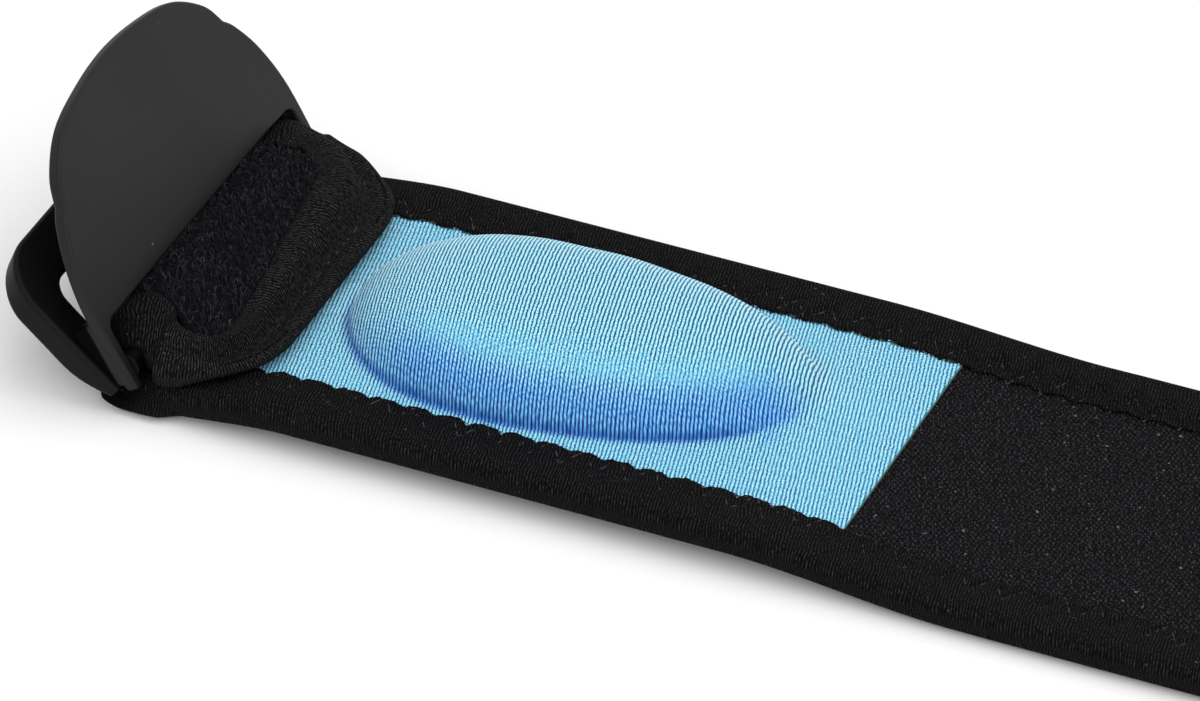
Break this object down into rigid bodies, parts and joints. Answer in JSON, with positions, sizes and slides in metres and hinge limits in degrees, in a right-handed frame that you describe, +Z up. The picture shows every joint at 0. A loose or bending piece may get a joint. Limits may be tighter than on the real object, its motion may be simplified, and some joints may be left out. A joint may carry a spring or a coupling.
{
  "type": "tennis elbow support strap",
  "caption": "Padded forearm strap with an oval pressure pad under stretch cloth, bound edges, and a moulded buckle whose loop takes the strap's free end.",
  "frame": {"origin": "on the surface that the strap lies on, under the middle of the object's length and width", "axes": "+X along the strap from the buckle to the free end, +Y across it, +Z up, out of the strap's skin side"},
  "size_m": [0.3113, 0.0684, 0.0399],
  "materials": {
    "jersey": "black knitted jersey on foam, fine speckle",
    "pile": "blue-black brushed loop pile",
    "binding": "black ribbed knit tape, zigzag stitched",
    "stretch": "light blue stretch cloth with fine ribs",
    "foam": "soft foam rubber",
    "moulding": "matte moulded plastic, fine grain",
    "hook": "black hook tape"
  },
  "bodies": {
    "root": {"strap_core": "jersey", "pile_face": "pile", "edge_binding": "binding", "pad_cover": "stretch", "pressure_pad": "foam", "buckle": "moulding", "hook_patch": "hook"}
  },
  "joints": []
}
